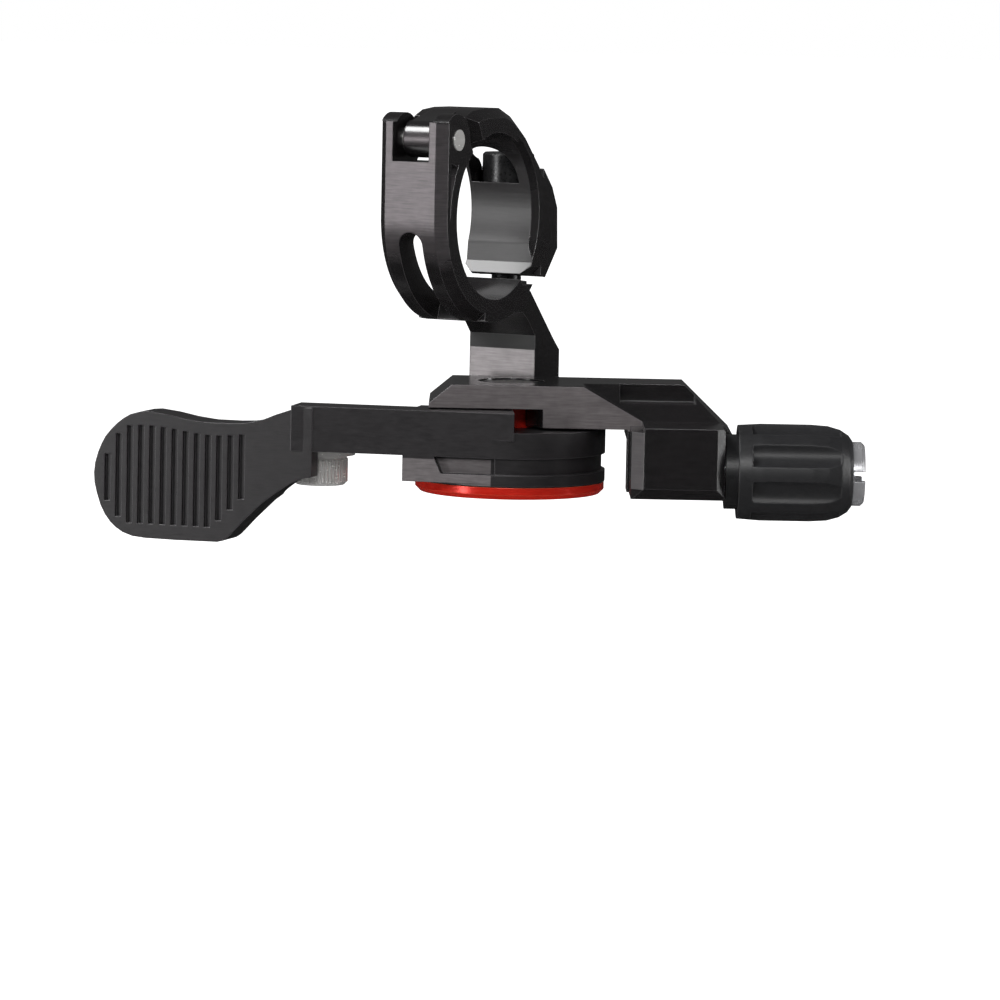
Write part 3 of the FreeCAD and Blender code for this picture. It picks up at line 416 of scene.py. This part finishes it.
# way that the bevel of the strap's right edge looks
strapEdge = ((math.cos(bar) - math.sin(bar)) / math.sqrt(2),
             (-math.sin(bar) - math.cos(bar)) / math.sqrt(2), 0.0)
armTurn = math.radians(12.2)
armOut = (-math.sin(armTurn), -math.cos(armTurn), 0.0)
finishes = {
    "blackAnodised": dict(
        dark=(0.006, 0.0055, 0.006), light=(0.011, 0.010, 0.0105), roughness=0.21, ior=1.75,
        marks={"Along X": 400.0, "Along Y": 400.0, "Along Z": 5000.0}, metallic=0.0,
        # edge colour: a painted highlight; the patches below paint chosen faces paler as painted reflections,
        # and the bore as a painted sheen
        edgeHighlight=(0.075, 0.071, 0.074), bump=0.02, spread=0.03, paintedLightFaces=(
            # front face of the body: pale grey, a painted reflection of the lamps
            {"low": (-0.0052, -0.0091, -0.0278), "high": (0.0242, -0.0083, -0.0219),
             "facing": (0.0, -1.0, 0.0),
             "dark": (0.105, 0.093, 0.095), "light": (0.180, 0.162, 0.165),
             "roughness": 0.42, "metallic": 0.45},
            # outer face of the neck: pale grey, a painted reflection of the lamps
            {"low": (0.0, 0.0065, -0.0224), "high": (0.011, 0.0135, -0.0184),
             "facing": outward,
             "dark": (0.14, 0.13, 0.132), "light": (0.22, 0.205, 0.208),
             "roughness": 0.40, "metallic": 0.75},
            # the neck just above it: base colour but rougher, so it stays dark
            {"low": (0.0, 0.0065, -0.0185), "high": (0.011, 0.0135, -0.0150),
             "facing": outward,
             "dark": (0.007, 0.0065, 0.007), "light": (0.010, 0.0095, 0.010),
             "roughness": 0.62, "metallic": 0.0},
            # bevel of the strap's right edge: grey, a painted reflection
            {"low": (-0.0150, -0.0170, -0.0110), "high": (-0.0010, -0.0060, 0.0125),
             "facing": strapEdge,
             "from": 0.93, "to": 0.99,
             "dark": (0.050, 0.045, 0.048), "light": (0.090, 0.081, 0.085),
             "roughness": 0.38, "metallic": 0.5},
            # left chamfer of the cable boss: grey, a painted highlight
            {"low": (0.0215, -0.0189, -0.0345), "high": (0.0245, -0.0085, -0.0268),
             "facing": (-0.707, -0.707, 0.0),
             "dark": (0.060, 0.056, 0.058), "light": (0.095, 0.088, 0.091),
             "roughness": 0.40, "metallic": 0.3},
            # outer face of the strap: grey, a painted reflection
            {"low": (-0.0150, -0.0170, -0.0090), "high": (-0.0010, -0.0060, 0.0135),
             "facing": outward,
             "from": 0.90, "to": 0.995,
             "dark": (0.050, 0.044, 0.047), "light": (0.088, 0.078, 0.082),
             "roughness": 0.36, "metallic": 0.7},
            # inner wall of the bore: a little paler and rougher, fading with how it faces, a painted soft
            # sheen
            {"low": (-0.0010, 0.0040, -0.0090), "high": (0.0110, 0.0140, 0.0100),
             "facing": outward,
             "from": 0.60, "to": 0.90,
             "dark": (0.018, 0.0165, 0.0175), "light": (0.028, 0.0255, 0.027),
             "roughness": 0.46, "metallic": 0.0})),
    "blackLever": dict(
        dark=(0.013, 0.012, 0.013), light=(0.020, 0.018, 0.0195), roughness=0.36, ior=1.5,
        marks={"Along X": 600.0, "Along Y": 600.0, "Along Z": 6000.0}, metallic=0.0,
        # edge colour: a painted highlight; the patch paints the arm's front face paler, as a painted
        # reflection
        edgeHighlight=(0.07, 0.066, 0.07), bump=0.06, paintedLightFaces=(
            # front face of the lever's arm: pale grey, a painted reflection of the lamps
            {"low": (-0.0088, -0.0160, -0.0350), "high": (0.0042, -0.0100, -0.0316),
             "facing": armOut,
             "dark": (0.085, 0.076, 0.078), "light": (0.14, 0.127, 0.130),
             "roughness": 0.42, "metallic": 0.1},)),
    # its edge colour is a painted highlight
    "redAnodised": dict(dark=(0.50, 0.013, 0.006), light=(0.66, 0.022, 0.010), roughness=0.22,
                        marks={"Along X": 300.0, "Along Y": 300.0, "Along Z": 4000.0},
                        metallic=0.35, edgeHighlight=(0.85, 0.16, 0.08), bump=0.05),
    "zincSteel": dict(dark=(0.64, 0.63, 0.615), light=(0.74, 0.73, 0.715), roughness=0.25, metallic=0.55,
                      marks={"Along X": 1500.0, "Along Y": 1500.0, "Along Z": 6000.0},
                      bump=0.03, spread=0.04),
    # its edge colour is a painted highlight
    "blackSteel": dict(dark=(0.016, 0.016, 0.017), light=(0.030, 0.030, 0.031), roughness=0.30,
                       marks={"Along X": 2500.0, "Along Y": 2500.0, "Along Z": 2500.0}, metallic=0.4,
                       bump=0.10, edgeHighlight=(0.08, 0.08, 0.08)),
    "bearingSteel": dict(dark=(0.55, 0.55, 0.57), light=(0.66, 0.66, 0.68), roughness=0.14,
                         marks={"Along X": 500.0, "Along Y": 500.0, "Along Z": 9000.0}, bump=0.05),
    "springSteel": dict(dark=(0.36, 0.36, 0.38), light=(0.50, 0.50, 0.52), roughness=0.28,
                        marks={"Along X": 3000.0, "Along Y": 3000.0, "Along Z": 3000.0}, bump=0.08),
    "silverAnodised": dict(dark=(0.58, 0.58, 0.60), light=(0.70, 0.70, 0.72), roughness=0.24, metallic=0.7,
                           marks={"Along X": 6000.0, "Along Y": 500.0, "Along Z": 500.0}, bump=0.08),
    "cageNylon": dict(dark=(0.42, 0.37, 0.26), light=(0.52, 0.47, 0.34), roughness=0.45,
                      marks={"Along X": 1800.0, "Along Y": 1800.0, "Along Z": 1800.0},
                      metallic=0.0, bump=0.10),
    "sealRubber": dict(dark=(0.015, 0.015, 0.016), light=(0.030, 0.030, 0.031), roughness=0.62,
                       marks={"Along X": 3000.0, "Along Y": 3000.0, "Along Z": 3000.0},
                       metallic=0.0, bump=0.15),
    # its edge colour is a painted highlight
    "coverPlastic": dict(dark=(0.012, 0.012, 0.013), light=(0.019, 0.019, 0.0205), roughness=0.40,
                         marks={"Along X": 5200.0, "Along Y": 5200.0, "Along Z": 5200.0}, metallic=0.0,
                         edge=0.0003, bump=0.22, edgeHighlight=(0.045, 0.045, 0.047)),
    "collarPlastic": dict(dark=(0.010, 0.010, 0.011), light=(0.016, 0.016, 0.017), roughness=0.36,
                          marks={"Along X": 4000.0, "Along Y": 4000.0, "Along Z": 4000.0},
                          metallic=0.0, bump=0.18),
}
materials = {name: finishedMetal(name, **finish) for name, finish in finishes.items()}

wearing = {
    "bracket": "blackAnodised", "clamp_cap": "blackAnodised", "lever": "blackLever",
    "hinge_pin": "zincSteel", "clamp_bolt": "blackSteel",
    "pinch_bolt": "zincSteel", "pinch_washer": "zincSteel",
    "pivot_axle": "blackSteel", "pivot_screw": "blackSteel", "thrust_washer": "blackSteel",
    "pivot_sleeve": "redAnodised", "pivot_cap": "redAnodised",
    "bearing_inner_ring": "bearingSteel", "bearing_outer_ring": "bearingSteel",
    "bearing_balls": "bearingSteel",
    "bearing_shield_top": "sealRubber", "bearing_shield_bottom": "sealRubber", "cap_seal": "sealRubber",
    "bearing_cage": "cageNylon", "retaining_ring": "springSteel", "detent_spring": "springSteel",
    "adjuster_barrel": "silverAnodised", "adjuster_cover": "coverPlastic", "detent_collar": "collarPlastic",
}
for name, finish in wearing.items():
    mesh = nodes[name].data
    mesh.materials.clear()
    mesh.materials.append(materials[finish])
print("materials ready")


def barPlace(out, up, aside):
    # point beside the clamp, from its reach across the bar, its height and its place along the bar
    return Vector((out * math.sin(bar) + aside * math.cos(bar),
                   out * math.cos(bar) - aside * math.sin(bar), up)) / 1000


def pivotPlace(x, y, z):
    # point beside the pivot
    return pivot + Vector((x, y, z)) / 1000


def solidFrom(rings):
    # solid whose skin joins rings of as many points each, with an end face on the first and the last
    shape = bmesh.new()
    rows = [[shape.verts.new(point) for point in ring] for ring in rings]
    size = len(rows[0])
    for here, there in zip(rows, rows[1:]):
        for side in range(size):
            shape.faces.new((here[side], here[(side + 1) % size], there[(side + 1) % size], there[side]))
    shape.faces.new(rows[0][::-1])
    shape.faces.new(rows[-1])
    shape.normal_update()
    bmesh.ops.recalc_face_normals(shape, faces=shape.faces)
    if shape.calc_volume(signed=True) < 0:
        bmesh.ops.reverse_faces(shape, faces=shape.faces)
    mesh = bpy.data.meshes.new("tool")
    shape.to_mesh(mesh)
    shape.free()
    return mesh


def prism(place, section, low, high):
    # straight bar: place(a, b, c) with the section in a and b, and c from low to high
    return solidFrom([[place(a, b, end) for a, b in section] for end in (low, high)])


def ringCut(section, start, stop, steps):
    # section in reach and place along the bar, swept round the bar from start to stop degrees
    turns = [math.radians(start + (stop - start) * index / steps) for index in range(steps + 1)]
    return solidFrom([[barPlace(reach * math.cos(turn), reach * math.sin(turn), aside)
                       for reach, aside in section] for turn in turns])


def welded(mesh, place):
    # the mesh with its doubled points joined, its own normals dropped and its sharp edges marked
    shape = bmesh.new()
    shape.from_mesh(mesh)
    bmesh.ops.remove_doubles(shape, verts=shape.verts, dist=1e-6)
    shape.transform(place)
    for face in shape.faces:
        face.smooth = True
        face.material_index = 0
    for edge in shape.edges:
        edge.smooth = len(edge.link_faces) == 2 and edge.calc_face_angle(math.pi) < math.radians(24)
    clean = bpy.data.meshes.new("welded")
    shape.to_mesh(clean)
    shape.free()
    if "custom_normal" in clean.attributes:
        clean.attributes.remove(clean.attributes["custom_normal"])
    return clean


def dressed(name, body, cuts, fills=()):
    # the CAD node's shape with its finer edges and recesses cut, which stands for the node
    source = nodes[name]
    toMillimetres = Matrix.Scale(1000, 4)
    mesh = welded(source.data, toMillimetres @ source.matrix_world)
    thing = bpy.data.objects.new(name + "Dressed", mesh)
    scene.collection.objects.link(thing)
    tools = []
    for kind, group in (("UNION", fills), ("DIFFERENCE", cuts)):
        for tool in group:
            tool.transform(toMillimetres)
            tools.append(bpy.data.objects.new("tool", tool))
            scene.collection.objects.link(tools[-1])
            step = thing.modifiers.new("step", "BOOLEAN")
            step.operation = kind
            step.solver = "MANIFOLD"
            step.object = tools[-1]
    bpy.context.view_layer.update()
    cut = bpy.data.meshes.new_from_object(thing.evaluated_get(bpy.context.evaluated_depsgraph_get()))
    final = welded(cut, toMillimetres.inverted())
    thing.modifiers.clear()
    for tool in tools:
        bpy.data.objects.remove(tool)
    final.materials.append(materials[wearing[name]])
    thing.data = final
    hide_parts(name)
    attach(thing, body)
    print(name, "dressed:", len(final.polygons), "faces")
    return thing


bracketEdges = {
    # sizes in mm: the strap's outer radius, how far it stands off, half its width and its bevel
    "strapOuter": 14.1,
    "strapOff": 0.8,
    "strapHalf": 5.0,
    "strapBevel": 1.25,
    "strapDepth": 2.0,
    "strapTop": 12.6,
    "strapTurns": (183, 264, 3),
    "knuckle": (-11.35, 10.35),
    "knuckleRadius": 3.4,
    "slotTop": -3.6,
    "slotHalf": 1.75,
    "slotCut": ((0.0, -3.6), (-24.0, -3.6), (-24.0, -22.0), (-6.9, -22.0)),
    "slotEnds": (-18.0, -9.0),
    "earGap": ((-16.0, 7.4), (-7.2, 7.4), (-7.2, 15.0), (-16.0, 15.0)),
    "earHalf": 2.7,
    # the cable boss about the pivot, and the recess in the shoulder
    "bossFront": -18.2,
    "bossLeft": 15.7,
    "bossRight": 27.9,
    "bossFloor": -35.8,
    "bossTop": -25.8,
    "bossInner": 17.3,
    "lipBack": -8.3,
    "lipTop": -27.0,
    "leftBevel": 1.6,
    "rightBevel": 1.05,
    "floorBevel": 1.45,
    "pocketLeft": 14.4,
    "pocketRight": 24.4,
    "pocketFloor": -24.3,
    "pocketTop": -21.0,
    "pocketFront": -9.0,
    "pocketBack": -1.2,
}
circleStep = 12                  # degrees between the points of a small circle
past = 0.5                       # how far the corners of a cutter stand past the faces it cuts, in mm
pastMore = 0.6
pastMost = 0.7


def strapBand(section):
    # section in depth and place along the bar, led down the strap's outer face and round the bore
    size = bracketEdges
    outer, off = size["strapOuter"], size["strapOff"]
    rings = [[barPlace(-outer - off + depth, up, aside) for depth, aside in section]
             for up in (size["strapTop"], 0.0)]
    for turn in range(*size["strapTurns"]):
        across, up = math.cos(math.radians(turn)), math.sin(math.radians(turn))
        rings.append([barPlace(-off + (outer - depth) * across, (outer - depth) * up, aside)
                      for depth, aside in section])
    return solidFrom(rings)


def circle(across, up, radius):
    return [(across + radius * math.cos(math.radians(turn)), up + radius * math.sin(math.radians(turn)))
            for turn in range(0, 360, circleStep)]


def strapCuts():
    # bevels of the strap's two edges, its slot with the round top, and the gap between the hinge ears
    size = bracketEdges
    half, bevel, slot = size["strapHalf"], size["strapBevel"], size["slotHalf"]
    cuts = []
    for side in (1, -1):
        cuts.append(strapBand([(-past, side * (half - bevel - past)), (bevel + past, side * (half + past)),
                               (-pastMost, side * (half + pastMost))]))
    cuts.append(prism(barPlace, size["slotCut"], -slot, slot))
    roundTop = [(size["slotTop"] + slot * math.sin(math.radians(turn)), slot * math.cos(math.radians(turn)))
                for turn in range(0, 360, circleStep)]
    cuts.append(solidFrom([[barPlace(out, up, aside) for up, aside in roundTop] for out in size["slotEnds"]]))
    cuts.append(prism(barPlace, size["earGap"], -size["earHalf"], size["earHalf"]))
    return cuts


def bossCuts():
    # bevels of the cable boss and the recess in the shoulder above it
    size = bracketEdges
    front, right, floor = size["bossFront"], size["bossRight"], size["bossFloor"]
    corner, low = size["rightBevel"], size["floorBevel"]
    upright = [(right - corner - past, front - past), (right + past, front + corner + past),
               (right + pastMore, front - pastMore)]
    lying = [(front - past, floor + low + past), (front + low + past, floor - past),
             (front - pastMore, floor - pastMore)]
    recess = [(size["pocketLeft"], size["pocketFront"]), (size["pocketRight"], size["pocketFront"]),
              (size["pocketRight"], size["pocketBack"]), (size["pocketLeft"], size["pocketBack"])]
    return [prism(pivotPlace, upright, floor - 1, size["bossTop"]),
            prism(lambda y, z, x: pivotPlace(x, y, z), lying, size["bossLeft"] - 1, right + pastMost),
            prism(pivotPlace, recess, size["pocketFloor"], size["pocketTop"])]


def makeBracket():
    size = bracketEdges
    half, bevel, depth = size["strapHalf"], size["strapBevel"], size["strapDepth"]
    band = strapBand([(depth, -half), (bevel, -half), (0.0, bevel - half), (0.0, half - bevel), (bevel, half),
                      (depth, half)])
    knuckle = prism(barPlace, circle(*size["knuckle"], size["knuckleRadius"]), -half, half)
    front, left = size["bossFront"], size["bossLeft"]
    inner = size["bossInner"] + 0.3
    lip = prism(pivotPlace, [(inner, front), (size["bossInner"], front), (left, front + size["leftBevel"]),
                             (left, size["lipBack"]), (inner, size["lipBack"])],
                size["bossFloor"] + 0.001, size["lipTop"])
    dressed("bracket", "bracket_body", strapCuts() + bossCuts(), [lip, band, knuckle])


capEdges = {
    # sizes in mm: the cap's bore, half its width, and the bevel of the bore and of the lug
    "bore": 11.1,
    "half": 5.0,
    "bevel": 0.8,
    "rimTurns": (-40, 62, 34),
    "foot": ((5.0, -3.6), (10.35, -3.6), (10.05, -6.6), (8.2, -9.0), (5.0, -9.0)),
    "footHalf": 6.0,
    "lug": ((13.0, 6.0), (16.4, 3.4), (17.9, 0.6), (18.15, -4.9), (14.7, -8.75), (12.6, -8.4)),
    "lugOuter": 14,
}


def makeCap():
    size = capEdges
    bore, half, bevel = size["bore"], size["half"], size["bevel"]
    foot = prism(barPlace, size["foot"], -size["footHalf"], size["footHalf"])
    rim = ringCut([(bore - 0.4, half - bevel - 0.4), (bore + bevel + 0.6, half + 0.6),
                   (bore - 0.6, half + 0.8)], *size["rimTurns"])
    lug = size["lug"]
    slim = [(out - bevel if out > size["lugOuter"] else out, up) for out, up in lug]
    rings = ((slim, -half), (lug, bevel - half), (lug, half - bevel), (slim, half))
    swell = solidFrom([[barPlace(out, up, aside) for out, up in ring] for ring, aside in rings])
    dressed("clamp_cap", "cap_body", [foot, rim], [swell])


def grown(name, build, finish, body):
    # piece made by a Geometry Nodes tree, kept as a plain mesh that rides on the body
    tree = bpy.data.node_groups.new(name + "Nodes", "GeometryNodeTree")
    tree.interface.new_socket("Geometry", in_out="INPUT", socket_type="NodeSocketGeometry")
    tree.interface.new_socket("Geometry", in_out="OUTPUT", socket_type="NodeSocketGeometry")
    end = tree.nodes.new("NodeGroupOutput")
    paint = tree.nodes.new("GeometryNodeSetMaterial")
    paint.inputs["Material"].default_value = materials[finish]
    tree.links.new(build(tree), paint.inputs["Geometry"])
    tree.links.new(paint.outputs[0], end.inputs[0])
    thing = bpy.data.objects.new(name, bpy.data.meshes.new(name))
    scene.collection.objects.link(thing)
    step = thing.modifiers.new("build", "NODES")
    step.node_group = tree
    bpy.context.view_layer.update()
    final = bpy.data.meshes.new_from_object(thing.evaluated_get(bpy.context.evaluated_depsgraph_get()))
    thing.modifiers.clear()
    thing.data = final
    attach(thing, body)
    print(name, "made:", len(final.polygons), "faces")
    return thing


knurl = {
    "place": (-25.249, -0.373),  # pinch bolt about the pivot, in mm
    "top": -32.75,
    "bottom": -35.85,
    "radius": 3.5,
    "count": 44,
    "ridge": 0.17,
}
thread = {
    "out": 14.0,                 # clamp bolt across the bar and along it, in mm
    "aside": -1.0,
    "bottom": -11.2,
    "pitch": 0.7,
    "turns": 3,
    "radius": 1.95,
    "tooth": 0.15,
}


def buildKnurl(tree):
    add = tree.nodes.new
    join = tree.links.new
    ring = add("GeometryNodeMeshCircle")
    ring.inputs["Vertices"].default_value = knurl["count"]
    ring.inputs["Radius"].default_value = knurl["radius"] / 1000
    ridge = add("GeometryNodeMeshCylinder")
    ridge.inputs["Vertices"].default_value = 6
    ridge.inputs["Radius"].default_value = knurl["ridge"] / 1000
    ridge.inputs["Depth"].default_value = (knurl["top"] - knurl["bottom"]) / 1000
    spread = add("GeometryNodeInstanceOnPoints")
    join(ring.outputs["Mesh"], spread.inputs["Points"])
    join(ridge.outputs["Mesh"], spread.inputs["Instance"])
    real = add("GeometryNodeRealizeInstances")
    join(spread.outputs[0], real.inputs[0])
    put = add("GeometryNodeTransform")
    middle = (knurl["top"] + knurl["bottom"]) / 2
    put.inputs["Translation"].default_value = pivotPlace(*knurl["place"], middle)
    join(real.outputs[0], put.inputs["Geometry"])
    return put.outputs[0]


def buildThread(tree):
    add = tree.nodes.new
    join = tree.links.new
    coil = add("GeometryNodeCurveSpiral")
    coil.inputs["Resolution"].default_value = 36
    coil.inputs["Rotations"].default_value = thread["turns"]
    coil.inputs["Start Radius"].default_value = thread["radius"] / 1000
    coil.inputs["End Radius"].default_value = thread["radius"] / 1000
    coil.inputs["Height"].default_value = thread["turns"] * thread["pitch"] / 1000
    tooth = add("GeometryNodeCurvePrimitiveCircle")
    tooth.inputs["Resolution"].default_value = 4
    tooth.inputs["Radius"].default_value = thread["tooth"] / 1000
    skin = add("GeometryNodeCurveToMesh")
    join(coil.outputs["Curve"], skin.inputs["Curve"])
    join(tooth.outputs["Curve"], skin.inputs["Profile Curve"])
    skin.inputs["Fill Caps"].default_value = True
    put = add("GeometryNodeTransform")
    put.inputs["Translation"].default_value = barPlace(thread["out"], thread["bottom"], thread["aside"])
    join(skin.outputs[0], put.inputs["Geometry"])
    return put.outputs[0]


screwSocket = {
    "corner": 1.5,               # from the screw's axis to a corner of the hexagon, in mm
    "depth": 1.5,
    "below": 0.5,
}


def makeScrewSocket():
    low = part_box("pivot_screw")[0][2] * 1000
    corner = screwSocket["corner"]
    corners = [(corner * math.cos(math.radians(60 * turn)), corner * math.sin(math.radians(60 * turn)))
               for turn in range(6)]
    socket = prism(pivotPlace, corners, low - screwSocket["below"], low + screwSocket["depth"])
    dressed("pivot_screw", "bracket_body", [socket])


makeBracket()
makeCap()
makeScrewSocket()
grown("pinchKnurl", buildKnurl, "zincSteel", "lever_body")
grown("clampThread", buildThread, "zincSteel", "bracket_body")
